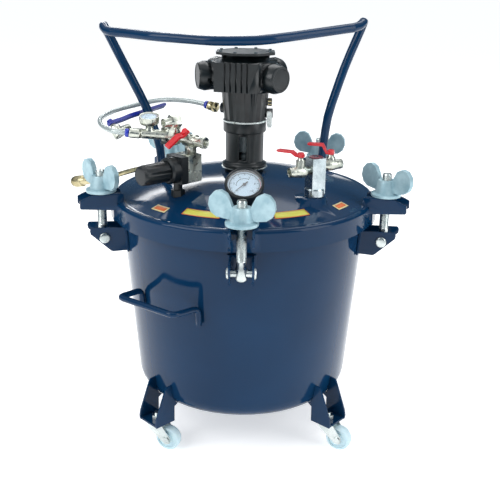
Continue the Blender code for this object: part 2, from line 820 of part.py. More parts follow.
def make_agitator():
    """Shaft with its seal collar and motor coupling, and the three-bladed propeller clamped near the bottom."""
    shaft = [
        (0.0, 0.0400),
        (SHAFT_R, 0.0400),
        (SHAFT_R, 0.3840),
        (0.0070, 0.3845),
        (0.0070, 0.3980),
        (SHAFT_R, 0.3985),
        (SHAFT_R, 0.4040),
        (0.0120, 0.4045),
        (0.0120, 0.4355),
        (SHAFT_R, 0.4360),
        (SHAFT_R, 0.4490),
        (0.0, 0.4490),
    ]
    publish("agitator_shaft", lathe(shaft, 18), "stainless")
    bore = SHAFT_R + GAP
    hub = lathe([(bore, 0.0470), (0.0110, 0.0470), (0.0110, 0.0650), (bore, 0.0650)], 18)
    blade = [
        (0.0095, -0.0050),
        (0.0300, -0.0130),
        (0.0560, -0.0135),
        (0.0600, 0.0000),
        (0.0560, 0.0135),
        (0.0300, 0.0130),
        (0.0095, 0.0050),
    ]
    for k in range(3):
        pitch = turned(120.0 * k) @ moved(0, 0, 0.0560) @ Matrix.Rotation(math.radians(28.0), 4, "X")
        unite(hub, prism(blade, -0.0010, 0.0010, pitch))
    publish("propeller", hub, "stainless")


# ---------------------------------------------------------------- lid gauge
def gauge_place():
    """Carries +Z onto the dial's outward normal, which leans back from the front."""
    return moved(*GAUGE_CENTRE) @ Matrix.Rotation(math.radians(GAUGE_TILT_DEG), 4, "X")


def make_lid_gauge():
    case = [
        (0.0, -0.0220),
        (0.0260, -0.0220),
        (0.0285, -0.0200),
        (0.0290, -0.0020),
        (GAUGE_R, -0.0010),
        (GAUGE_R, 0.0030),
        (0.0285, 0.0045),
        (0.0262, 0.0045),
        (0.0258, -0.0015),
        (0.0, -0.0015),
    ]
    gauge = lathe(case, 28, gauge_place())
    x, y = GAUGE_CENTRE[0], GAUGE_CENTRE[1] + 0.006
    stem = rod(0.0075, 0.3400, 0.3790, 14, moved(x, y, 0.0))
    nut = prism(hexagon(0.0200), 0.3400, dome_z(0.137) + 0.0100, moved(x, y, 0.0))
    unite(gauge, stem, nut)
    publish("lid_gauge", cut(gauge, under_lid()), "black_plastic")
    needle = [
        (-0.0009, 0.0190),
        (-0.0022, -0.0040),
        (-0.0030, -0.0110),
        (0.0030, -0.0110),
        (0.0022, -0.0040),
        (0.0009, 0.0190),
    ]
    place = gauge_place() @ turned(135.0)
    pointer = unite(rod(0.0030, -0.0010, 0.0016, 14), prism(needle, 0.0, 0.0008))
    pointer.data.transform(place)
    publish("gauge_needle", pointer, "needle_black", GAUGE_CENTRE)


# ---------------------------------------------------------------- regulator and inlet fittings
def regulator_place():
    """+Z runs out along the knob."""
    a = math.radians(REGULATOR_DEG)
    return pointing(REGULATOR_AT, (math.cos(a), math.sin(a), 0.0))


def make_regulator():
    """Body and bonnet of the regulator, with the hex nipple that stands on the lid."""
    bonnet = [(0.0, -0.0060), (0.0190, -0.0060), (0.0205, 0.0), (0.0205, 0.0120), (0.0180, 0.0150), (0.0, 0.0150)]
    body = lathe(bonnet, 24, regulator_place())
    place = moved(*REGULATOR_AT) @ turned(REGULATOR_DEG)
    unite(body, box((-0.0145, -0.0190, -0.0205), (-0.0010, 0.0190, 0.0215), place))
    x, y = REGULATOR_AT[0] + 0.006, REGULATOR_AT[1] + 0.004
    unite(body, rod(0.0070, 0.3400, 0.3850, 14, moved(x, y, 0.0)))
    unite(body, prism(hexagon(0.0185), 0.3400, 0.3640, moved(x, y, 0.0)))
    publish("regulator_body", cut(body, under_lid()), "black_plastic")


def make_regulator_knob():
    ribs = 16
    outline = []
    for i in range(2 * ribs):
        a = math.pi * i / ribs
        radius = 0.0149 if i % 2 else 0.0160
        outline.append((radius * math.cos(a), radius * math.sin(a)))
    rim = [(0.995 * x, 0.995 * y) for x, y in outline]
    end = [(0.90 * x, 0.90 * y) for x, y in outline]
    knob = unite(prism(outline, 0.0153, 0.0560), tapered(rim, end, 0.0555, 0.0630))
    place = regulator_place()
    knob.data.transform(place)
    publish("regulator_knob", knob, "black_plastic", tuple(place @ Vector((0, 0, 0.0153))))


def hose_end_point():
    return Vector(HOSE_ROUTE[-1])


def make_inlet_block():
    """The fittings screwed together behind the regulator, from its zinc block to the hose fitting."""
    a = math.radians(REGULATOR_DEG)
    x = REGULATOR_AT[0] - 0.0347 * math.cos(a)
    y = REGULATOR_AT[1] - 0.0347 * math.sin(a)
    place = moved(x, y, REGULATOR_AT[2]) @ turned(REGULATOR_DEG)
    block = box((-0.0082, -0.0165, -0.0210), (0.0199, 0.0165, 0.0215), place)
    unite(block, rod(0.0066, 0.4150, 0.4400, 14, moved(x, y, 0.0)))
    unite(block, prism(hexagon(0.0155), 0.4155, 0.4290, moved(x, y, 0.0)))
    valve = pointing((x, y, 0.4375), INLET_VALVE_AXIS)
    body = [
        (0.0, -0.0120),
        (0.0095, -0.0115),
        (0.0100, 0.0120),
        (0.0078, 0.0130),
        (0.0078, 0.0230),
        (0.0092, 0.0240),
        (0.0092, 0.0310),
        (0.0, 0.0310),
    ]
    unite(block, lathe(body, 18, valve))
    stem = rod(0.0050, 0.0, INLET_STEM_END, 14, pointing((x, y, 0.4375), INLET_STEM_AXIS))
    elbow = box((-0.0118, -0.0100, -0.0130), (0.0118, 0.0100, 0.0125), moved(*INLET_ELBOW) @ turned(-20.0))
    link = Vector(INLET_ELBOW) - Vector((x, y, 0.4375))
    unite(block, stem, elbow, rod(0.0068, 0.0, link.length, 14, pointing((x, y, 0.4375), link)))
    relief = (INLET_ELBOW[0] + 0.0030, INLET_ELBOW[1] - 0.0050, INLET_ELBOW[2] + 0.0215)
    aim = (-0.75, -0.66, 0.0)
    unite(block, rod(0.0070, -0.0140, 0.0, 14, moved(*relief)))
    unite(block, prism(hexagon(0.0200), -0.0110, 0.0040, pointing(relief, aim)))
    unite(block, rod(0.0070, 0.0, 0.0170, 16, pointing(relief, aim)))
    run = hose_end_point() - Vector(INLET_ELBOW)
    length = run.length - 0.0120
    barrel = [
        (0.0, 0.0),
        (0.0075, 0.0),
        (0.0075, length - 0.0080),
        (0.0062, length - 0.0070),
        (0.0062, length),
        (0.0, length),
    ]
    unite(block, lathe(barrel, 16, pointing(INLET_ELBOW, run)))
    route = smooth_route(HOSE_ROUTE, HOSE_STEPS)
    back = (route[-1] - route[-2]).normalized()
    ferrule = [(0.0, 0.0), (0.0070, 0.0), (0.0074, 0.0020), (0.0074, 0.0150), (0.0060, 0.0170), (0.0, 0.0170)]
    unite(block, lathe(ferrule, 16, pointing(route[-1] + back * GAP, back)))
    unite(block, rod(0.0062, -0.0220, -0.0100, 14, moved(*SMALL_GAUGE_AT)))
    stem_axis = Vector(BLUE_STEM_AXIS).normalized()
    low_valve = Vector(BLUE_LEVER_AT) - stem_axis * BLUE_STEM_LENGTH
    branch_at = Vector(INLET_ELBOW) + 0.60 * run
    branch = low_valve - branch_at
    unite(block, rod(0.0055, 0.0, branch.length, 14, pointing(branch_at, branch)))
    unite(block, prism(hexagon(0.0150), 0.0120, 0.0260, pointing(branch_at, branch)))
    unite(block, rod(0.0095, -0.0100, 0.0070, 16, pointing(low_valve, stem_axis)))
    unite(block, rod(0.0040, 0.0, BLUE_STEM_LENGTH - GAP, 12, pointing(low_valve, stem_axis)))
    drain = Vector(BLUE_LEVER_AHEAD).normalized()
    unite(block, rod(0.0065, 0.0, 0.0260, 14, pointing(low_valve - stem_axis * 0.0010, drain)))
    cut(block, rod(0.0042, 0.0130, 0.0400, 12, pointing(low_valve - stem_axis * 0.0010, drain)))
    cut(block, rod(0.0048, 0.0200, 0.0400, 12, valve))
    cut(block, rod(0.0042, 0.0080, 0.0200, 12, pointing(relief, aim)))
    publish("inlet_block", block, "nickel_fitting")


def make_small_gauge():
    """Small face-up gauge on the inlet fittings."""
    lean = moved(*SMALL_GAUGE_AT) @ Matrix.Rotation(math.radians(12.0), 4, "X")
    case = [
        (0.0, -0.0055),
        (0.0148, -0.0055),
        (0.0157, 0.0000),
        (0.0155, 0.0055),
        (0.0138, 0.0055),
        (0.0132, 0.0035),
        (0.0, 0.0035),
    ]
    gauge = lathe(case, 20, lean)
    unite(gauge, rod(0.0052, -0.0097, -0.0030, 14, moved(*SMALL_GAUGE_AT)))
    publish("small_gauge", gauge, "nickel_fitting")


def make_air_inlet():
    """Bent inlet pipe from the regulator's side port out to the quick coupler."""
    a = math.radians(REGULATOR_DEG - 90.0)
    out = Vector((math.cos(a), math.sin(a), 0.0))
    b = math.radians(REGULATOR_DEG)
    port = Vector(REGULATOR_AT) - 0.0104 * Vector((math.cos(b), math.sin(b), 0.0))
    corners = [tuple(port + out * (0.0190 + GAP)), tuple(port + out * 0.0420)] + list(AIR_INLET_ROUTE)
    pipe = sweep(rounded_route(corners, 0.020, 3), 0.0042, 10)
    end = Vector(AIR_INLET_ROUTE[-1])
    aim = (end - Vector(AIR_INLET_ROUTE[-2])).normalized()
    coupler = [
        (0.0, -0.0100),
        (0.0062, -0.0100),
        (0.0070, 0.0),
        (0.0070, 0.0070),
        (0.0098, 0.0080),
        (0.0100, 0.0240),
        (0.0085, 0.0260),
        (0.0085, 0.0290),
        (0.0, 0.0290),
    ]
    unite(pipe, lathe(coupler, 18, pointing(end, aim)))
    cut(pipe, rod(0.0045, 0.0150, 0.0400, 12, pointing(end, aim)))
    publish("air_inlet", pipe, "brass_fitting")


def lever(length, width, thickness, rise):
    """Flat lever along +X with its boss on the origin, cranked up to its grip along Z."""
    strap = [
        (-0.0050, 0.0004),
        (0.20 * length, 0.0004),
        (0.38 * length, rise),
        (length - 0.003, rise),
        (length, rise + 0.3 * thickness),
        (length, rise + 0.8 * thickness),
        (length - 0.003, rise + thickness),
        (0.34 * length, rise + thickness),
        (0.17 * length, 0.0004 + thickness),
        (-0.0050, 0.0004 + thickness),
    ]
    bar = prism(strap, -0.5 * width, 0.5 * width, UPRIGHT)
    return unite(rod(0.0048, 0.0, thickness + 0.0030, 12), bar)


def lever_frame(at, stem, ahead):
    """Stands a lever on its stem: +Z along the stem, +X towards the lever's tip."""
    z = Vector(stem).normalized()
    x = (Vector(ahead) - z * z.dot(Vector(ahead))).normalized()
    y = z.cross(x)
    turn = Matrix((x, y, z)).transposed().to_4x4()
    return Matrix.Translation(at) @ turn


def make_inlet_levers():
    a = math.radians(REGULATOR_DEG)
    x = REGULATOR_AT[0] - 0.0347 * math.cos(a)
    y = REGULATOR_AT[1] - 0.0347 * math.sin(a)
    at = Vector((x, y, 0.4375)) + Vector(INLET_STEM_AXIS).normalized() * (INLET_STEM_END + GAP)
    red = lever(0.0380, 0.0100, 0.0040, 0.0050)
    red.data.transform(lever_frame(at, INLET_STEM_AXIS, INLET_LEVER_AHEAD))
    publish("inlet_lever", red, "red_grip", tuple(at))
    blue = lever(BLUE_LEVER_LENGTH, 0.0080, 0.0055, 0.0020)
    blue.data.transform(lever_frame(BLUE_LEVER_AT, BLUE_STEM_AXIS, BLUE_LEVER_AHEAD))
    publish("blue_lever", blue, "blue_grip", BLUE_LEVER_AT)


# ---------------------------------------------------------------- hose
def make_hose():
    """Braided hose: a curve bevelled to its round section."""
    curve = bpy.data.curves.new("air_hose", "CURVE")
    curve.dimensions = "3D"
    curve.bevel_depth = HOSE_R
    curve.bevel_resolution = 2
    curve.use_fill_caps = True
    spline = curve.splines.new("POLY")
    route = smooth_route(HOSE_ROUTE, HOSE_STEPS)
    spline.points.add(len(route) - 1)
    for point, at in zip(spline.points, route):
        point.co = (at.x, at.y, at.z, 1.0)
    hose = bpy.data.objects.new("air_hose", curve)
    bpy.context.scene.collection.objects.link(hose)
    curve.materials.append(make_material("hose_braid"))


def make_motor_hose_fitting():
    """Ferrule, hex and nipple between the hose's end and the motor's port."""
    route = smooth_route(HOSE_ROUTE, HOSE_STEPS)
    ahead = (route[0] - route[1]).normalized()
    at = route[0] + ahead * GAP
    reach = 0.0180
    profile = [
        (0.0, 0.0),
        (0.0070, 0.0),
        (0.0074, 0.0020),
        (0.0074, 0.0080),
        (0.0058, 0.0085),
        (0.0058, reach),
        (0.0, reach),
    ]
    fitting = unite(lathe(profile, 16), prism(hexagon(0.0150), 0.0100, 0.0165))
    fitting.data.transform(pointing(at, ahead))
    publish("motor_hose_fitting", fitting, "brass_fitting")


# ---------------------------------------------------------------- outlet
def outlet_boss():
    """Round boss on the lid that the outlet column is screwed on."""
    x, y = OUTLET_AT
    return rod(0.0245, 0.3420, OUTLET_BOSS_Z, 28, moved(x - 0.0055, y, 0.0))


def make_outlet():
    """Collar nut and square column, open below for the dip tube."""
    place = moved(OUTLET_AT[0], OUTLET_AT[1], 0.0)
    column = lathe(
        [
            (0.0, OUTLET_BOSS_Z + GAP),
            (0.0145, OUTLET_BOSS_Z + GAP),
            (0.0155, OUTLET_BOSS_Z + 0.0020),
            (0.0155, OUTLET_BOSS_Z + 0.0120),
            (0.0145, OUTLET_BOSS_Z + 0.0140),
            (0.0, OUTLET_BOSS_Z + 0.0140),
        ],
        24,
        place,
    )
    half = OUTLET_HALF
    outline = [(half, half), (-half, half), (-half, -half), (half, -half)]
    unite(column, prism(outline, OUTLET_BOSS_Z + 0.0060, OUTLET_TOP_Z, place @ turned(OUTLET_DEG)))
    unite(column, rod(0.0098, OUTLET_TOP_Z - 0.0020, OUTLET_TOP_Z + 0.0016, 20, place))
    cut(column, rod(0.0083, 0.3300, 0.3850, 16, place))
    publish("outlet_column", column, "stainless")
    tube = lathe([(0.0058, 0.0300), (0.0080, 0.0300), (0.0080, 0.3840), (0.0058, 0.3840)], 18, place)
    publish("dip_tube", tube, "stainless")


def outlet_side(side):
    """Where the column's side face is, as a placing matrix whose +Z points out of the face."""
    a = math.radians(OUTLET_DEG + (180.0 if side == "left" else 0.0))
    height = OUTLET_LEFT_Z if side == "left" else OUTLET_RIGHT_Z
    out = Vector((math.cos(a), math.sin(a), 0.0))
    at = Vector((OUTLET_AT[0], OUTLET_AT[1], height)) + out * (OUTLET_HALF + GAP)
    return pointing(at, out), out, at


def make_outlet_valve(side):
    place, out, at = outlet_side(side)
    profile = [
        (0.0, 0.0),
        (0.0068, 0.0),
        (0.0068, 0.0060),
        (0.0090, 0.0075),
        (0.0095, 0.0160),
        (0.0085, 0.0220),
        (0.0085, 0.0250),
        (0.0078, 0.0255),
        (0.0078, 0.0340),
        (0.0, 0.0340),
    ]
    body = lathe(profile, 14, place)
    foot = at + out * 0.0150
    unite(body, rod(0.0048, 0.0, OUTLET_LEVER_Z - foot.z - GAP, 14, moved(foot.x, foot.y, foot.z)))
    unite(body, prism(hexagon(0.0120), 0.0, OUTLET_LEVER_Z - foot.z - 0.0040, moved(foot.x, foot.y, foot.z)))
    cut(body, rod(0.0048, 0.0180, 0.0500, 12, place))
    publish("outlet_valve_" + side, body, "nickel_fitting")
    heading = math.radians(OUTLET_LEVER_DEG[side])
    pivot = Vector((foot.x, foot.y, OUTLET_LEVER_Z))
    red = lever(OUTLET_LEVER_LENGTH[side], 0.0080, 0.0042, OUTLET_LEVER_CRANK[side])
    red.data.transform(lever_frame(pivot, (0.0, 0.0, 1.0), (math.cos(heading), math.sin(heading), 0.0)))
    publish("outlet_lever_" + side, red, "red_grip", tuple(pivot))


def main():
    clear_scene()
    make_tank()
    make_lid()
    make_gasket()
    for k, angle in enumerate(clamp_angles()):
        make_tank_lug(k + 1, angle)
        make_eyebolt(k + 1, angle)
        make_wing_nut(k + 1, angle, WING_TURNS_DEG[k])
    make_carry_handle()
    make_side_handle("side_handle_front", SIDE_HANDLE_DEG[0])
    make_side_handle("side_handle_rear", SIDE_HANDLE_DEG[1])
    for k, angle in enumerate(CASTER_DEG):
        make_caster_bracket(k + 1, angle)
        make_caster_fork(k + 1, angle, CASTER_HEADING_DEG[k])
        make_caster_wheel(k + 1, angle, CASTER_HEADING_DEG[k])
    make_motor_pedestal()
    make_motor_body()
    make_motor_caps()
    make_motor_top_cover()
    make_speed_lever()
    make_agitator()
    make_lid_gauge()
    make_regulator()
    make_regulator_knob()
    make_inlet_block()
    make_small_gauge()
    make_inlet_levers()
    make_air_inlet()
    make_hose()
    make_motor_hose_fitting()
    make_outlet()
    make_outlet_valve("left")
    make_outlet_valve("right")


main()
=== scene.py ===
"""Looks of the resin pressure pot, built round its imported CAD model.

Every CAD node gets its finish, then come the hose, bolts, labels, welds, dials, screws, wheels and the seal.
"""

import json
import math

import bmesh
import bpy
from mathutils import Matrix, Vector


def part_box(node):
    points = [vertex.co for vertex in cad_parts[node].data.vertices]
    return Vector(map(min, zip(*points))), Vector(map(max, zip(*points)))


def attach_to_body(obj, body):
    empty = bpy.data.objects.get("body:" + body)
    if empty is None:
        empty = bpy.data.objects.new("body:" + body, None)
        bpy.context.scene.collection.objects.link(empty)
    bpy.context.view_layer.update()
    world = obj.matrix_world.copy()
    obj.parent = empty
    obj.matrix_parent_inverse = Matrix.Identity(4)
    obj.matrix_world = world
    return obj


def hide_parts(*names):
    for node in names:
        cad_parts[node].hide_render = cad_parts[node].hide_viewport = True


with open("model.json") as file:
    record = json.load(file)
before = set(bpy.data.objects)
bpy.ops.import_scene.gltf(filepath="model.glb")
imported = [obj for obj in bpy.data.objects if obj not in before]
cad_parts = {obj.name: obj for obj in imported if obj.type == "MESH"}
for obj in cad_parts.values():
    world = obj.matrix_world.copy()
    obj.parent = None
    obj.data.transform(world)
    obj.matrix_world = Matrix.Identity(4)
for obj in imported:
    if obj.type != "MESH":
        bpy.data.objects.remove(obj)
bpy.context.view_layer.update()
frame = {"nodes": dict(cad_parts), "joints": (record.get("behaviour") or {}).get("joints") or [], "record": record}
RECORD = frame["record"]
BODY_OF = {node: body for body, nodes in RECORD["behaviour"]["bodies"].items() for node in nodes}
SLOT_OF = {part["node"]: part["material_slot"] for part in RECORD["subparts"]}
JOINTS = {joint["name"]: joint for joint in frame["joints"]}
CASTERS = range(1, 5)
GROUND_Z = min(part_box(f"caster_wheel_{k}")[0].z for k in CASTERS)

# Shape of the domed lid, for what is stuck on it.
LID_RIM_Z = 0.3366
LID_DOME_H = 0.0370
LID_DOME_R = 0.2050

# Gauges: how far each leans back, and their scales, with angles measured clockwise from straight up.
GAUGE_TILT_DEG = 36.0
SMALL_GAUGE_TILT_DEG = 12.0
SCALE_START_DEG = -135.0
SCALE_SWEEP_DEG = 270.0
RED_ARC_START_DEG = 60.0
SCALE_MARKS = 50
MARKS_PER_NUMBER = 5

# Swing bolts of the five clamps.
CLAMPS = range(1, 6)
BOLT_R = 0.0075
THREAD_ROOT_R = 0.0069
THREAD_PITCH = 0.0016
THREAD_LOW_Z = 0.2990
THREAD_TOP_GAP = 0.0030
PIN_R = 0.0055
PIN_HEAD_R = 0.0088
PIN_HALF_LENGTH = 0.0188

# Welds round the feet of the carry handle.
HANDLE_FOOT_X = {"left": -0.1378, "right": 0.1287}
WELD_RING_R = 0.0083
WELD_BEAD_R = 0.0021
WELD_WAVE = 0.0003
WELD_WAVES = 7.0

# Air motor: the turn of each end cap about the motor's axis, and where its screws sit.
MOTOR_CAP_DEG = {"front_right": -45.0, "front_left": -165.0, "rear_right": 45.0, "rear_left": 135.0}
COVER_SCREWS = 8
COVER_SCREW_CIRCLE_R = 0.0425
FLANGE_FACE_OUT = 0.0500
FLANGE_SCREW_OFFSET = 0.0190
SCREW_R = 0.0026

# Rounding of edges, by the start of the node's name.
BEVELS = {
    "wing_nut": 0.0012,
    "tank_lug": 0.0005,
    "caster_bracket": 0.0005,
    "caster_fork": 0.0003,
    "inlet_lever": 0.0009,
    "blue_lever": 0.0012,
    "outlet_lever": 0.0009,
    "outlet_column": 0.0008,
    "regulator_body": 0.0010,
    "motor_top_cover": 0.0007,
    "speed_lever": 0.0004,
}

# Camera, as solved from the photo.
CAMERA_AT = (0.0133, -1.3033, 0.6943)
CAMERA_YAW_DEG = -0.07
CAMERA_PITCH_DEG = 19.62
CAMERA_ROLL_DEG = 0.87
SENSOR_MM = 36.0
FOCAL_LENGTH_IN_SENSORS = 1.5948

# Air hose: its size, its braid (radians of winding for each metre, and strands around), and its route
# from the motor's fitting to the inlet fittings.
HOSE_R = 0.0040
HOSE_SIDES = 20
BRAID_WINDING = 1900.0
BRAID_STRANDS = 8.0
HOSE_ROUTE = (
    (-0.0615, 0.0290, 0.4745),
    (-0.0800, 0.0378, 0.4775),
    (-0.1054, 0.0500, 0.4786),
    (-0.1466, 0.0680, 0.4755),
    (-0.1863, 0.0660, 0.4672),
    (-0.2190, 0.0380, 0.4615),
    (-0.2320, -0.0200, 0.4590),
    (-0.2230, -0.0680, 0.4565),
    (-0.2040, -0.0965, 0.4545),
    (-0.1880, -0.1035, 0.4535),
    (-0.1745, -0.1040, 0.4525),
)


# ---------------------------------------------------------------- materials
# Between these two values lies nearly all of a noise texture.
NOISE_LOW = 0.35
NOISE_HIGH = 0.65


def shader(name, color, roughness, metallic=0.0, coat=0.0):
    """A material with one Principled shader; returns the material, its node tree and the shader."""
    material = bpy.data.materials.new(name)
    material.use_nodes = True
    tree = material.node_tree
    principled = tree.nodes["Principled BSDF"]
    principled.inputs["Base Color"].default_value = (*color, 1.0)
    principled.inputs["Roughness"].default_value = roughness
    principled.inputs["Metallic"].default_value = metallic
    principled.inputs["Coat Weight"].default_value = coat
    principled.inputs["Coat Roughness"].default_value = 0.06
    return material, tree, principled


def add_noise(tree, scale, detail=3.0):
    """Noise in the object's own space."""
    place = tree.nodes.new("ShaderNodeTexCoord")
    noise = tree.nodes.new("ShaderNodeTexNoise")
    noise.inputs["Scale"].default_value = scale
    noise.inputs["Detail"].default_value = detail
    tree.links.new(place.outputs["Object"], noise.inputs["Vector"])
    return noise.outputs["Fac"]


def add_bump(tree, principled, height, strength, distance):
    """Fine relief from a height socket."""
    bump = tree.nodes.new("ShaderNodeBump")
    bump.inputs["Strength"].default_value = strength
    bump.inputs["Distance"].default_value = distance
    tree.links.new(height, bump.inputs["Height"])
    tree.links.new(bump.outputs["Normal"], principled.inputs["Normal"])


def add_range(tree, source, low, high, socket):
    """Feeds the noise to a shader socket, spread between two values."""
    spread = tree.nodes.new("ShaderNodeMapRange")
    spread.inputs["From Min"].default_value = NOISE_LOW
    spread.inputs["From Max"].default_value = NOISE_HIGH
    spread.inputs["To Min"].default_value = low
    spread.inputs["To Max"].default_value = high
    tree.links.new(source, spread.inputs["Value"])
    tree.links.new(spread.outputs["Result"], socket)


def add_ramp(tree, source, low, high, dark, light):
    """A colour that goes from dark to light while the source goes from low to high."""
    ramp = tree.nodes.new("ShaderNodeValToRGB")
    ramp.color_ramp.elements[0].position = low
    ramp.color_ramp.elements[0].color = (*dark, 1.0)
    ramp.color_ramp.elements[1].position = high
    ramp.color_ramp.elements[1].color = (*light, 1.0)
    tree.links.new(source, ramp.inputs["Fac"])
    return ramp.outputs["Color"]


def add_mottle(tree, principled, source, dark, light):
    """Feeds the noise to the base colour, spread between two colours."""
    color = add_ramp(tree, source, NOISE_LOW, NOISE_HIGH, dark, light)
    tree.links.new(color, principled.inputs["Base Color"])


def add_math(tree, operation, *values):
    """The result of a maths node that takes sockets or numbers."""
    node = tree.nodes.new("ShaderNodeMath")
    node.operation = operation
    for socket, value in zip(node.inputs, values):
        if isinstance(value, float):
            socket.default_value = value
        else:
            tree.links.new(value, socket)
    return node.outputs[0]


def paint_material():
    """Glossy navy enamel with a trace of orange peel."""
    material, tree, principled = shader("navy_enamel", (0.0045, 0.0260, 0.0780), 0.14)
    principled.inputs["Specular IOR Level"].default_value = 0.22
    clouds = add_noise(tree, 5.0)
    add_mottle(tree, principled, clouds, (0.0026, 0.0250, 0.0700), (0.0034, 0.0330, 0.0900))
    add_range(tree, add_noise(tree, 9.0), 0.07, 0.14, principled.inputs["Roughness"])
    add_bump(tree, principled, add_noise(tree, 60.0, 1.0), 0.05, 0.0010)
    return material


def cast_material(name, dark, light, roughness, metallic, grain=900.0, strength=0.25):
    """Cast metal with a mottled colour and a fine grain."""
    material, tree, principled = shader(name, light, roughness, metallic)
    add_mottle(tree, principled, add_noise(tree, 60.0, 6.0), dark, light)
    add_bump(tree, principled, add_noise(tree, grain, 2.0), strength, 0.0003)
    return material


def plated_material(name, dark, light, roughness):
    """Machined or plated metal with fine variation in its shine."""
    material, tree, principled = shader(name, light, roughness, 1.0)
    add_mottle(tree, principled, add_noise(tree, 45.0, 4.0), dark, light)
    wear = add_noise(tree, 160.0)
    add_range(tree, wear, 0.7 * roughness, 1.4 * roughness, principled.inputs["Roughness"])
    return material


def plastic_material(name, color, roughness, grain=0.0, coat=0.0):
    """Plastic, rubber or print of one colour, with a moulded grain or a gloss coat where asked."""
    material, tree, principled = shader(name, color, roughness, 0.0, coat)
    if grain:
        add_bump(tree, principled, add_noise(tree, 1600.0, 2.0), grain, 0.0002)
    return material


def wheel_material():
    """Milky moulded plastic that lets some light into it."""
    material, _, principled = shader("milky_plastic", (0.62, 0.79, 0.84), 0.28)
    principled.inputs["Subsurface Weight"].default_value = 0.35
    principled.inputs["Subsurface Radius"].default_value = (0.006, 0.007, 0.008)
    return material


def braid_material():
    """Clear hose over a woven braid: two crossing sets of strands wound on the hose's own map."""
    material, tree, principled = shader("hose_braid", (0.42, 0.47, 0.46), 0.22, 0.35, 0.4)
    place = tree.nodes.new("ShaderNodeUVMap")
    split = tree.nodes.new("ShaderNodeSeparateXYZ")
    tree.links.new(place.outputs["UV"], split.inputs["Vector"])
    waves = []
    for sense in (1.0, -1.0):
        along = add_math(tree, "MULTIPLY", split.outputs["X"], BRAID_WINDING)
        around = add_math(tree, "MULTIPLY", split.outputs["Y"], sense * BRAID_STRANDS * 2.0 * math.pi)
        waves.append(add_math(tree, "SINE", add_math(tree, "ADD", along, around)))
    weave = add_math(tree, "MAXIMUM", *waves)
    color = add_ramp(tree, weave, 0.1, 0.7, (0.30, 0.35, 0.34), (0.52, 0.58, 0.57))
    tree.links.new(color, principled.inputs["Base Color"])
    add_bump(tree, principled, weave, 0.3, 0.0002)
    return material


def glass_material():
    """Thin clear dial glass."""
    material, _, principled = shader("dial_glass", (1.0, 1.0, 1.0), 0.03)
    principled.inputs["Alpha"].default_value = 0.10
    return material


PAINT = paint_material()
# The finish of each material slot of the record.
LOOKS = {
    "navy_paint": PAINT,
    "galvanised": cast_material("galvanised_cast", (0.27, 0.43, 0.49), (0.44, 0.61, 0.66), 0.40, 0.30),
    "zinc_plate": plated_material("zinc_plate", (0.50, 0.55, 0.54), (0.74, 0.79, 0.77), 0.30),
    "black_casting": cast_material(
        "black_casting", (0.0035, 0.0060, 0.0070), (0.009, 0.014, 0.016), 0.30, 0.0, 700.0, 0.2
    ),
    "black_plastic": plastic_material("black_plastic", (0.006, 0.009, 0.011), 0.35, 0.15),
    "brass_fitting": plated_material("brass_fitting", (0.42, 0.36, 0.20), (0.62, 0.55, 0.34), 0.34),
    "nickel_fitting": plated_material("nickel_fitting", (0.46, 0.48, 0.42), (0.66, 0.68, 0.60), 0.30),
    "stainless": plated_material("stainless", (0.34, 0.40, 0.42), (0.50, 0.56, 0.58), 0.24),
    "red_grip": plastic_material("red_grip", (0.62, 0.012, 0.020), 0.28, 0.0, 0.4),
    "blue_grip": plastic_material("blue_grip", (0.008, 0.022, 0.300), 0.28, 0.0, 0.4),
    "caster_plastic": wheel_material(),
    "gasket_rubber": plastic_material("gasket_rubber", (0.015, 0.015, 0.015), 0.75, 0.2),
    "needle_black": plastic_material("needle_black", (0.010, 0.010, 0.010), 0.45),
    "hose_braid": braid_material(),
}
WHITE = plastic_material("dial_white", (0.52, 0.68, 0.80), 0.55)
INK = plastic_material("dial_ink", (0.015, 0.020, 0.030), 0.6)
RED_INK = plastic_material("dial_red", (0.60, 0.030, 0.030), 0.6)
YELLOW_LABEL = plastic_material("label_yellow", (0.58, 0.55, 0.08), 0.45)
ORANGE_LABEL = plastic_material("label_orange", (0.62, 0.13, 0.02), 0.45)
WHITE_LABEL = plastic_material("label_white", (0.72, 0.64, 0.34), 0.45)
DARK_STEEL = plated_material("dark_steel", (0.06, 0.08, 0.09), (0.16, 0.20, 0.22), 0.35)
# Pale, non-metallic colour for the chrome agitator shaft: a painted reflection that keeps it bright in its dark
# window.
SHAFT_PAINTED_SHEEN = plastic_material("shaft_painted_sheen", (0.66, 0.74, 0.74), 0.35)
BLUE_RING = plastic_material("blue_ring", (0.010, 0.030, 0.420), 0.30, 0.0, 0.3)
MAROON = plastic_material("maroon_ring", (0.120, 0.010, 0.025), 0.35)
GLASS = glass_material()
STEEL = LOOKS["zinc_plate"]


# ---------------------------------------------------------------- mesh helpers
# Closer to an axis than this, in metres, a profile point lies on it.
ON_AXIS = 1e-7
# Points of a CAD node closer than this, in metres, are one point.
SAME_POINT = 2e-6


def make_object(name, shape, material, smooth_deg=35.0):
    """A new object from a bmesh, shaded smooth except at edges sharper than the angle."""
    bmesh.ops.recalc_face_normals(shape, faces=shape.faces)
    mesh = bpy.data.meshes.new(name)
    shape.to_mesh(mesh)
    shape.free()
    mesh.materials.append(material)
    for polygon in mesh.polygons:
        polygon.use_smooth = True
    mesh.set_sharp_from_angle(angle=math.radians(smooth_deg))
    obj = bpy.data.objects.new(name, mesh)
    bpy.context.scene.collection.objects.link(obj)
    return obj


def attach(obj, node):
    """Puts a piece on the body that the CAD node belongs to."""
    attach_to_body(obj, BODY_OF[node])


def turned(degrees, axis="Z"):
    """A turn about an axis."""
    return Matrix.Rotation(math.radians(degrees), 4, axis)


def moved(point):
    """A move of the origin onto the point."""
    return Matrix.Translation(point)


def pointing(at, axis):
    """Carries +Z onto the axis and the origin onto the point."""
    turn = Vector((0.0, 0.0, 1.0)).rotation_difference(Vector(axis).normalized())
    return moved(at) @ turn.to_matrix().to_4x4()


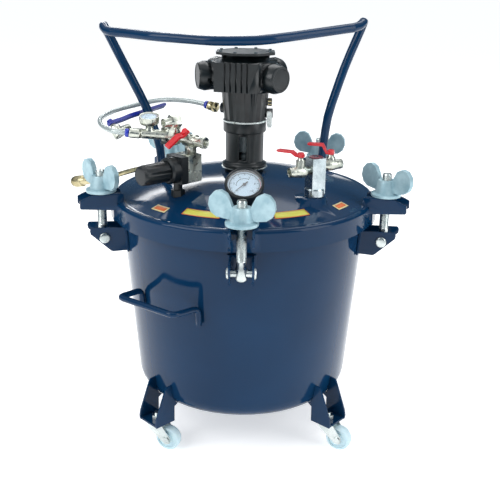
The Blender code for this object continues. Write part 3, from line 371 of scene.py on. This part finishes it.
def circle_point(centre, radius, angle, side, up):
    """The point at an angle on a circle that lies in the plane of two directions."""
    return centre + radius * (math.cos(angle) * side + math.sin(angle) * up)


def bridge(shape, low, high):
    """Faces between two rings; a ring of one point makes a fan."""
    steps = max(len(low), len(high))
    for k in range(steps):
        n = (k + 1) % steps
        corners = [low[k % len(low)], low[n % len(low)], high[n % len(high)], high[k % len(high)]]
        corners = list(dict.fromkeys(corners))
        if len(corners) > 2:
            shape.faces.new(corners)


def add_lathe(shape, profile, steps, place=None):
    """Adds a surface of revolution about Z, from (radius, height) points, to the bmesh."""
    place = place or Matrix.Identity(4)
    rings = []
    for radius, height in profile:
        if radius < ON_AXIS:
            rings.append([shape.verts.new(place @ Vector((0.0, 0.0, height)))])
            continue
        ring = []
        for k in range(steps):
            a = 2.0 * math.pi * k / steps
            ring.append(shape.verts.new(place @ Vector((radius * math.cos(a), radius * math.sin(a), height))))
        rings.append(ring)
    for low, high in zip(rings, rings[1:]):
        bridge(shape, low, high)


def lathe_object(name, profile, steps, place, material):
    """A closed surface of revolution; an open profile is closed on itself or across the axis."""
    starts_on_axis = profile[0][0] < ON_AXIS
    ends_on_axis = profile[-1][0] < ON_AXIS
    if starts_on_axis and not ends_on_axis:
        profile = profile + [(0.0, profile[-1][1])]
    elif not starts_on_axis and not ends_on_axis:
        profile = profile + [profile[0]]
    shape = bmesh.new()
    add_lathe(shape, profile, steps, place)
    bmesh.ops.remove_doubles(shape, verts=shape.verts, dist=ON_AXIS)
    return make_object(name, shape, material)


def thicken(obj, amount):
    """Gives a sheet a real thickness below its face."""
    backing = obj.modifiers.new("thickness", "SOLIDIFY")
    backing.thickness = amount
    backing.offset = -1.0
    return obj


def polish(node, bevel, material):
    """Shows a welded, smoothly shaded copy of a CAD node in its place, with rounded edges if asked."""
    shape = bmesh.new()
    shape.from_mesh(frame["nodes"][node].data)
    bmesh.ops.remove_doubles(shape, verts=shape.verts, dist=SAME_POINT)
    if bevel:
        bmesh.ops.dissolve_limit(shape, angle_limit=math.radians(0.5), verts=shape.verts, edges=shape.edges)
    skin = make_object(node + "_skin", shape, material)
    if bevel:
        rounding = skin.modifiers.new("rounding", "BEVEL")
        rounding.width = bevel
        rounding.segments = 2
        rounding.limit_method = "ANGLE"
        rounding.angle_limit = math.radians(40.0)
    weighting = skin.modifiers.new("even_shading", "WEIGHTED_NORMAL")
    weighting.keep_sharp = True
    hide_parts(node)
    attach(skin, node)


def smooth_route(points, per_span):
    """Catmull-Rom curve through the points."""
    knots = [Vector(p) for p in points]
    knots = [2 * knots[0] - knots[1]] + knots + [2 * knots[-1] - knots[-2]]
    route = []
    for i in range(1, len(knots) - 2):
        a, b, c, d = knots[i - 1 : i + 3]
        for k in range(per_span):
            t = k / per_span
            bend = (2 * a - 5 * b + 4 * c - d) * t**2
            twist = (3 * b - a - 3 * c + d) * t**3
            route.append(0.5 * (2 * b + (c - a) * t + bend + twist))
    route.append(knots[-2])
    return route


def ring_frames(route):
    """A side and an up direction at every point of a route, turned as little as possible."""
    frames = []
    side = None
    for i in range(len(route)):
        ahead = (route[min(i + 1, len(route) - 1)] - route[max(i - 1, 0)]).normalized()
        if side is None:
            side = ahead.orthogonal().normalized()
        side = (side - ahead * side.dot(ahead)).normalized()
        frames.append((side, ahead.cross(side)))
    return frames


# ---------------------------------------------------------------- hose
def make_hose():
    """Braided hose of its real length between the two fittings."""
    route = smooth_route(HOSE_ROUTE, 12)
    frames = ring_frames(route)
    shape = bmesh.new()
    map_layer = shape.loops.layers.uv.new("UVMap")
    rings = []
    run = [0.0]
    for i, at in enumerate(route):
        side, up = frames[i]
        if i:
            run.append(run[-1] + (at - route[i - 1]).length)
        angles = [2.0 * math.pi * k / HOSE_SIDES for k in range(HOSE_SIDES)]
        rings.append([shape.verts.new(circle_point(at, HOSE_R, a, side, up)) for a in angles])
    for i in range(len(rings) - 1):
        for k in range(HOSE_SIDES):
            n = (k + 1) % HOSE_SIDES
            face = shape.faces.new((rings[i][k], rings[i][n], rings[i + 1][n], rings[i + 1][k]))
            corners = ((i, k), (i, k + 1), (i + 1, k + 1), (i + 1, k))
            for loop, (row, column) in zip(face.loops, corners):
                loop[map_layer].uv = (run[row], column / HOSE_SIDES)
    shape.faces.new(rings[0])
    shape.faces.new(rings[-1])
    hose = make_object("hose_tube", shape, LOOKS["hose_braid"], 60.0)
    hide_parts("air_hose")
    attach(hose, "air_hose")
    profile = [
        (HOSE_R + 0.0001, 0.0),
        (0.0062, 0.0002),
        (0.0066, 0.0015),
        (0.0066, 0.0045),
        (0.0060, 0.0056),
        (HOSE_R, 0.0060),
    ]
    for name, at, ahead in (("start", route[0], route[1]), ("end", route[-1], route[-2])):
        place = pointing(at, (ahead - at).normalized())
        collar = lathe_object(f"hose_collar_{name}", profile, 28, place, BLUE_RING)
        attach(collar, "air_hose")


# ---------------------------------------------------------------- clamps
def bolt_profile(top):
    """Outline of a swing bolt from the boss at its pin to its threaded top."""
    profile = [
        (0.0, 0.2680),
        (0.0066, 0.2680),
        (0.0084, 0.2705),
        (0.0088, 0.2730),
        (0.0088, 0.2865),
        (BOLT_R, 0.2900),
        (BOLT_R, THREAD_LOW_Z - 0.0010),
    ]
    z = THREAD_LOW_Z
    while z < top - THREAD_TOP_GAP:
        profile += [(THREAD_ROOT_R, z), (BOLT_R, z + 0.0006), (BOLT_R, z + 0.0009)]
        z += THREAD_PITCH
    return profile + [(THREAD_ROOT_R, top - 0.0012), (0.0062, top), (0.0, top)]


def pin_profile():
    """Outline of a cross pin with a rounded head on each end."""
    half = [
        (PIN_R, PIN_HALF_LENGTH),
        (PIN_HEAD_R, PIN_HALF_LENGTH),
        (PIN_HEAD_R, PIN_HALF_LENGTH + 0.0010),
        (0.0078, PIN_HALF_LENGTH + 0.0026),
        (0.0058, PIN_HALF_LENGTH + 0.0034),
        (0.0, PIN_HALF_LENGTH + 0.0034),
    ]
    return [(radius, -height) for radius, height in reversed(half)] + half


def make_threaded_bolts():
    """Swing bolts with a boss round the pin and a cut thread up the rod."""
    for k in CLAMPS:
        node = f"eyebolt_{k}"
        joint = JOINTS[f"clamp_swing_{k}"]
        pivot = Vector(joint["pos_m"])
        shape = bmesh.new()
        add_lathe(shape, bolt_profile(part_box(node)[1].z), 20, moved((pivot.x, pivot.y, 0.0)))
        add_lathe(shape, pin_profile(), 24, pointing(pivot, joint["axis"]))
        bolt = make_object(node + "_threaded", shape, STEEL, 28.0)
        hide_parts(node)
        attach(bolt, node)


# ---------------------------------------------------------------- lid labels and welds
def dome_z(radius):
    """Height of the lid's dome at a distance from its middle."""
    return LID_RIM_Z + LID_DOME_H * (1.0 - (radius / LID_DOME_R) ** 2)


def dome_patch(name, centre_deg, span_deg, r_low, r_high, lift, material):
    """A thin sheet that follows the lid's dome over a span of angle and radius."""
    rows = 3
    columns = max(4, int(span_deg))
    shape = bmesh.new()
    grid = []
    for i in range(columns + 1):
        a = math.radians(centre_deg - 0.5 * span_deg + span_deg * i / columns)
        column = []
        for j in range(rows + 1):
            radius = r_low + (r_high - r_low) * j / rows
            spot = (radius * math.cos(a), radius * math.sin(a), dome_z(radius) + lift)
            column.append(shape.verts.new(spot))
        grid.append(column)
    for i in range(columns):
        for j in range(rows):
            shape.faces.new((grid[i][j], grid[i + 1][j], grid[i + 1][j + 1], grid[i][j + 1]))
    attach(thicken(make_object(name, shape, material), 0.0002), "lid")


def make_labels():
    """Plain labels with no words: a curved strip at the front and a small one on each side."""
    for name, centre, span in (("left", -110.0, 19.0), ("right", -66.0, 18.0)):
        dome_patch(f"label_strip_{name}_edge", centre, span, 0.1705, 0.1865, 0.0004, ORANGE_LABEL)
        dome_patch(f"label_strip_{name}", centre, span - 0.8, 0.1720, 0.1850, 0.0006, YELLOW_LABEL)
    for name, centre in (("left", -132.5), ("right", -35.0)):
        dome_patch(f"label_{name}_edge", centre, 8.8, 0.1790, 0.1925, 0.0004, WHITE_LABEL)
        dome_patch(f"label_{name}", centre, 7.2, 0.1815, 0.1900, 0.0006, ORANGE_LABEL)


def make_welds():
    """Uneven weld beads round the feet of the carry handle."""
    up = Vector((0.0, 0.0, 1.0))
    steps = 28
    sides = 8
    for name, x in HANDLE_FOOT_X.items():
        shape = bmesh.new()
        rings = []
        for i in range(steps):
            a = 2.0 * math.pi * i / steps
            outward = Vector((math.cos(a), math.sin(a), 0.0))
            at = Vector((x, 0.0, 0.0)) + WELD_RING_R * outward
            at.z = dome_z(at.xy.length) + 0.0004
            bead = WELD_BEAD_R + WELD_WAVE * math.sin(WELD_WAVES * a)
            angles = [2.0 * math.pi * k / sides for k in range(sides)]
            rings.append([shape.verts.new(circle_point(at, bead, b, outward, up)) for b in angles])
        for low, high in zip(rings, rings[1:] + rings[:1]):
            bridge(shape, low, high)
        attach(make_object(f"handle_weld_{name}", shape, PAINT), "lid")


# ---------------------------------------------------------------- gauges
def dial_arc(shape, radius, width, start_deg, end_deg, height, place):
    """Adds a flat arc, measured clockwise from straight up, to the bmesh."""
    steps = max(2, int(abs(end_deg - start_deg) / 5.0))
    rows = []
    for i in range(steps + 1):
        a = math.radians(90.0 - (start_deg + (end_deg - start_deg) * i / steps))
        inner = place @ Vector(((radius - width) * math.cos(a), (radius - width) * math.sin(a), height))
        outer = place @ Vector((radius * math.cos(a), radius * math.sin(a), height))
        rows.append((shape.verts.new(inner), shape.verts.new(outer)))
    for low, high in zip(rows, rows[1:]):
        shape.faces.new((low[0], low[1], high[1], high[0]))


def add_dial(name, node, place, radius, height, numbers):
    """White dial face with a scale, a red arc at its high end and plain numbers."""
    face = [(0.0, height), (radius, height), (radius, height - 0.0003)]
    attach(lathe_object(f"{name}_face", face, 48, place, WHITE), node)
    scale = bmesh.new()
    scale_end = SCALE_START_DEG + SCALE_SWEEP_DEG
    dial_arc(scale, 0.90 * radius, 0.030 * radius, SCALE_START_DEG, scale_end, height + 0.0001, place)
    for i in range(SCALE_MARKS + 1):
        angle = SCALE_START_DEG + SCALE_SWEEP_DEG * i / SCALE_MARKS
        length = 0.16 if i % MARKS_PER_NUMBER == 0 else 0.08
        half = 0.9 if i % MARKS_PER_NUMBER == 0 else 0.45
        dial_arc(scale, 0.90 * radius, length * radius, angle - half, angle + half, height + 0.00015, place)
    dial_arc(scale, 0.50 * radius, 0.035 * radius, -100.0, 35.0, height + 0.0001, place)
    attach(thicken(make_object(f"{name}_scale", scale, INK), 0.00005), node)
    red = bmesh.new()
    dial_arc(red, 0.97 * radius, 0.035 * radius, RED_ARC_START_DEG, scale_end, height + 0.0001, place)
    attach(thicken(make_object(f"{name}_red_arc", red, RED_INK), 0.00005), node)
    for i, text in enumerate(numbers):
        angle = math.radians(90.0 - (SCALE_START_DEG + SCALE_SWEEP_DEG * i / (len(numbers) - 1)))
        curve = bpy.data.curves.new(f"{name}_number_{i}", "FONT")
        curve.body = text
        curve.size = 0.20 * radius
        curve.extrude = 0.00002
        curve.align_x = "CENTER"
        curve.align_y = "CENTER"
        curve.materials.append(INK)
        label = bpy.data.objects.new(f"{name}_number_{i}", curve)
        bpy.context.scene.collection.objects.link(label)
        spot = (0.62 * radius * math.cos(angle), 0.62 * radius * math.sin(angle), height + 0.0002)
        label.matrix_world = place @ moved(spot)
        attach(label, node)


def make_needle(place):
    """Tapered needle on a round hub, pointing to the start of the scale."""
    outline = [
        (-0.0070, 0.0011),
        (-0.0020, 0.0009),
        (0.0185, 0.0003),
        (0.0185, -0.0003),
        (-0.0020, -0.0009),
        (-0.0070, -0.0011),
    ]
    hub = [(0.0, 0.0016), (0.0020, 0.0015), (0.0024, 0.0011), (0.0024, -0.0004), (0.0, -0.0004)]
    along = place @ turned(90.0 - SCALE_START_DEG)
    shape = bmesh.new()
    layers = [[shape.verts.new(along @ Vector((x, y, z))) for x, y in outline] for z in (0.0004, 0.0010)]
    shape.faces.new(layers[0])
    shape.faces.new(layers[1])
    bridge(shape, layers[0], layers[1])
    add_lathe(shape, hub, 20, place)
    needle = make_object("needle_pointer", shape, INK)
    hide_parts("gauge_needle")
    attach(needle, "gauge_needle")


def make_lid_gauge():
    """Dial, bezel, glass and needle of the gauge on the lid."""
    place = moved(JOINTS["needle_turn"]["pos_m"]) @ turned(GAUGE_TILT_DEG, "X")
    add_dial("lid_gauge", "lid_gauge", place, 0.0256, -0.0014, ("0", "2", "4", "6", "8", "10"))
    bezel = [(0.0259, 0.0030), (0.0262, 0.0046), (0.0272, 0.0052), (0.0286, 0.0049), (0.0296, 0.0038)]
    attach(lathe_object("lid_gauge_bezel", bezel, 56, place, LOOKS["black_plastic"]), "lid_gauge")
    glass = [(0.0, 0.0040), (0.0150, 0.0038), (0.0260, 0.0034)]
    attach(lathe_object("lid_gauge_glass", glass, 48, place, GLASS), "lid_gauge")
    make_needle(place)


def make_small_gauge():
    """Dial, pointer and glass of the gauge on the inlet fittings."""
    low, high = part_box("small_gauge")
    middle = (low + high) / 2
    place = moved((middle.x, middle.y, high.z - 0.0085)) @ turned(SMALL_GAUGE_TILT_DEG, "X")
    add_dial("small_gauge", "small_gauge", place, 0.0130, 0.0037, ("0", "4", "8", "12"))
    reach = 0.0095
    half_deg = 1.5
    pointer = bmesh.new()
    dial_arc(pointer, reach, reach, SCALE_START_DEG - half_deg, SCALE_START_DEG + half_deg, 0.0042, place)
    attach(thicken(make_object("small_gauge_pointer", pointer, INK), 0.0002), "small_gauge")
    glass = [(0.0, 0.0052), (0.0136, 0.0050)]
    attach(lathe_object("small_gauge_glass", glass, 40, place, GLASS), "small_gauge")


# ---------------------------------------------------------------- motor details
def screw_profile(radius, height):
    """Outline of a cap screw's head with a round socket."""
    return [
        (0.0, height),
        (0.45 * radius, height),
        (0.50 * radius, 0.55 * height),
        (0.55 * radius, height),
        (0.88 * radius, height),
        (radius, 0.8 * height),
        (radius, -0.0004),
    ]


def make_cover_screws():
    """Ring of cap screws on the motor's top cover."""
    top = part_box("motor_top_cover")[1].z
    profile = screw_profile(SCREW_R, 0.0022)
    for k in range(COVER_SCREWS):
        across = turned(360.0 * (k + 0.5) / COVER_SCREWS)
        at = across @ Vector((COVER_SCREW_CIRCLE_R, 0.0, top))
        screw = lathe_object(f"cover_screw_{k + 1}", profile, 18, moved(at), DARK_STEEL)
        attach(screw, "motor_top_cover")


def make_cap_details():
    """Four cap screws on each cylinder flange, and a raised rim on each end cap."""
    outward = Vector((1.0, 0.0, 0.0))
    low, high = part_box("motor_cap_front_right")
    axis_z = (low.z + high.z) / 2
    profile = screw_profile(SCREW_R, 0.0024)
    rim = [(0.0206, 0.0776), (0.0196, 0.0790), (0.0168, 0.0790), (0.0158, 0.0782), (0.0, 0.0782)]
    for name, angle in MOTOR_CAP_DEG.items():
        across = turned(angle)
        for i, (side, up) in enumerate(((-1, -1), (-1, 1), (1, -1), (1, 1))):
            spot = (FLANGE_FACE_OUT, FLANGE_SCREW_OFFSET * side, axis_z + FLANGE_SCREW_OFFSET * up)
            place = pointing(across @ Vector(spot), across @ outward)
            screw = lathe_object(f"flange_screw_{name}_{i + 1}", profile, 16, place, DARK_STEEL)
            attach(screw, "motor_body")
        place = moved((0.0, 0.0, axis_z)) @ across @ pointing((0.0, 0.0, 0.0), outward)
        cap_rim = lathe_object(f"cap_rim_{name}", rim, 36, place, LOOKS["black_casting"])
        attach(cap_rim, "motor_cap_" + name)


def make_motor_trim():
    """Foot plate, the brass nut on the silencer side and a bright ring below the body."""
    foot_plate = [(0.0324, 0.3788), (0.0380, 0.3790), (0.0384, 0.3800), (0.0362, 0.3808)]
    attach(lathe_object("motor_foot_plate", foot_plate, 48, None, STEEL), "motor_pedestal")
    nut = [(0.0040, 0.0440), (0.0058, 0.0440), (0.0066, 0.0432), (0.0066, 0.0380)]
    place = pointing((0.0, 0.0, 0.4865), (1.0, -0.1, 0.0))
    silencer_nut = lathe_object("motor_silencer_nut", nut, 6, place, LOOKS["brass_fitting"])
    attach(silencer_nut, "motor_body")
    ring = [(0.0350, 0.4546), (0.0356, 0.4552), (0.0356, 0.4570), (0.0350, 0.4578), (0.0336, 0.4580)]
    attach(lathe_object("motor_bright_ring", ring, 56, None, STEEL), "motor_body")


# ---------------------------------------------------------------- casters
def make_wheels():
    """Moulded wheels with a recessed web, a raised hub and a fine parting line."""
    profile = [
        (0.0043, -0.0090),
        (0.0080, -0.0090),
        (0.0088, -0.0082),
        (0.0092, -0.0060),
        (0.0156, -0.0056),
        (0.0164, -0.0078),
        (0.0172, -0.0083),
        (0.0192, -0.0076),
        (0.0205, -0.0060),
        (0.0209, -0.0040),
        (0.0210, -0.0006),
        (0.0212, 0.0),
    ]
    profile += [(radius, -height) for radius, height in reversed(profile[:-1])] + [profile[0]]
    for k in CASTERS:
        joint = JOINTS[f"wheel_spin_{k}"]
        shape = bmesh.new()
        add_lathe(shape, profile, 48, pointing(joint["pos_m"], joint["axis"]))
        wheel = make_object(f"wheel_moulding_{k}", shape, LOOKS["caster_plastic"])
        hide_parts(f"caster_wheel_{k}")
        attach(wheel, f"caster_wheel_{k}")


# ---------------------------------------------------------------- small fittings
def make_outlet_seal():
    """Maroon seal on top of the outlet column."""
    low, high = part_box("outlet_column")
    centre = (low + high) / 2
    seal = [
        (0.0040, high.z + 0.0002),
        (0.0088, high.z + 0.0004),
        (0.0104, high.z - 0.0002),
        (0.0106, high.z - 0.0018),
    ]
    place = moved((centre.x, centre.y, 0.0))
    attach(lathe_object("outlet_seal", seal, 32, place, MAROON), "outlet_column")


# ---------------------------------------------------------------- CAD nodes
def style_nodes():
    """Gives a finish to every CAD node that no other function shows."""
    shown_elsewhere = {"air_hose", "gauge_needle"}
    shown_elsewhere |= {f"eyebolt_{k}" for k in CLAMPS}
    shown_elsewhere |= {f"caster_wheel_{k}" for k in CASTERS}
    for node in sorted(SLOT_OF):
        if node in shown_elsewhere:
            continue
        width = next((BEVELS[start] for start in BEVELS if node.startswith(start)), 0.0)
        # The agitator shaft gets a pale colour as a painted reflection, in place of its own metal finish.
        polish(node, width, SHAFT_PAINTED_SHEEN if node == "agitator_shaft" else LOOKS[SLOT_OF[node]])


# ---------------------------------------------------------------- studio
def make_floor():
    """A wide pale floor that glows a little, so that it fades into the white background."""
    mesh = bpy.data.meshes.new("floor")
    reach = 30.0
    corners = [(x * reach, y * reach, GROUND_Z) for x, y in ((-1, -1), (1, -1), (1, 1), (-1, 1))]
    mesh.from_pydata(corners, [], [(0, 1, 2, 3)])
    material, _, principled = shader("floor_white", (0.84, 0.84, 0.84), 0.85)
    principled.inputs["Emission Color"].default_value = (1.0, 1.0, 1.0, 1.0)
    principled.inputs["Emission Strength"].default_value = 0.52
    mesh.materials.append(material)
    floor = bpy.data.objects.new("floor", mesh)
    bpy.context.scene.collection.objects.link(floor)


def add_softbox(name, at, target, size, power):
    """A white rectangular light of a size in metres and a power in watts, turned to its target."""
    light = bpy.data.lights.new(name, "AREA")
    light.shape = "RECTANGLE"
    light.size, light.size_y = size
    light.energy = power
    lamp = bpy.data.objects.new(name, light)
    lamp.location = at
    lamp.rotation_mode = "QUATERNION"
    lamp.rotation_quaternion = (Vector(target) - Vector(at)).to_track_quat("-Z", "Y")
    bpy.context.scene.collection.objects.link(lamp)


def make_world():
    """A dim room that is brighter overhead; straight behind the object the camera sees plain white."""
    world = bpy.data.worlds.new("studio")
    world.use_nodes = True
    tree = world.node_tree
    room = tree.nodes["Background"]
    place = tree.nodes.new("ShaderNodeTexCoord")
    split = tree.nodes.new("ShaderNodeSeparateXYZ")
    tree.links.new(place.outputs["Generated"], split.inputs["Vector"])
    color = add_ramp(tree, split.outputs["Z"], 0.35, 0.95, (0.09, 0.13, 0.17), (0.95, 0.97, 1.0))
    tree.links.new(color, room.inputs["Color"])
    plain = tree.nodes.new("ShaderNodeBackground")
    plain.inputs["Color"].default_value = (1.0, 1.0, 1.0, 1.0)
    rays = tree.nodes.new("ShaderNodeLightPath")
    mix = tree.nodes.new("ShaderNodeMixShader")
    tree.links.new(rays.outputs["Is Camera Ray"], mix.inputs["Fac"])
    tree.links.new(room.outputs["Background"], mix.inputs[1])
    tree.links.new(plain.outputs["Background"], mix.inputs[2])
    tree.links.new(mix.outputs["Shader"], tree.nodes["World Output"].inputs["Surface"])
    bpy.context.scene.world = world


def make_lights():
    """Three large softboxes round the pot, and a narrow one behind it for a sheen on the lid."""
    middle = (0.0, 0.0, 0.25)
    lid_middle = (0.0, 0.0, 0.36)
    add_softbox("key_left", (-2.4, -1.8, 2.2), middle, (2.2, 2.2), 66.0)
    add_softbox("fill_right", (2.6, -1.3, 1.5), middle, (1.6, 2.4), 40.0)
    add_softbox("top_back", (0.2, 1.6, 2.9), middle, (3.0, 1.8), 42.0)
    add_softbox("lid_sheen", (-0.5, 2.4, 1.5), lid_middle, (1.1, 0.22), 7.0)


def make_camera():
    """Camera a little above the lid, in front of the pot."""
    data = bpy.data.cameras.new("camera")
    data.sensor_width = SENSOR_MM
    data.lens = SENSOR_MM * FOCAL_LENGTH_IN_SENSORS
    data.dof.use_dof = False
    data.clip_start = 0.05
    data.clip_end = 100.0
    yaw = math.radians(CAMERA_YAW_DEG)
    pitch = math.radians(CAMERA_PITCH_DEG)
    roll = math.radians(CAMERA_ROLL_DEG)
    look = Vector((math.sin(yaw) * math.cos(pitch), math.cos(yaw) * math.cos(pitch), -math.sin(pitch)))
    flat_right = look.cross(Vector((0.0, 0.0, 1.0))).normalized()
    flat_up = flat_right.cross(look)
    right = math.cos(roll) * flat_right + math.sin(roll) * flat_up
    up = -math.sin(roll) * flat_right + math.cos(roll) * flat_up
    camera = bpy.data.objects.new("camera", data)
    camera.matrix_world = moved(CAMERA_AT) @ Matrix((right, up, -look)).transposed().to_4x4()
    bpy.context.scene.collection.objects.link(camera)
    bpy.context.scene.camera = camera


make_camera()
make_floor()
make_world()
make_lights()
style_nodes()
make_hose()
make_threaded_bolts()
make_labels()
make_welds()
make_lid_gauge()
make_small_gauge()
make_cover_screws()
make_cap_details()
make_motor_trim()
make_wheels()
make_outlet_seal()

bpy.context.scene.view_settings.view_transform = "Standard"
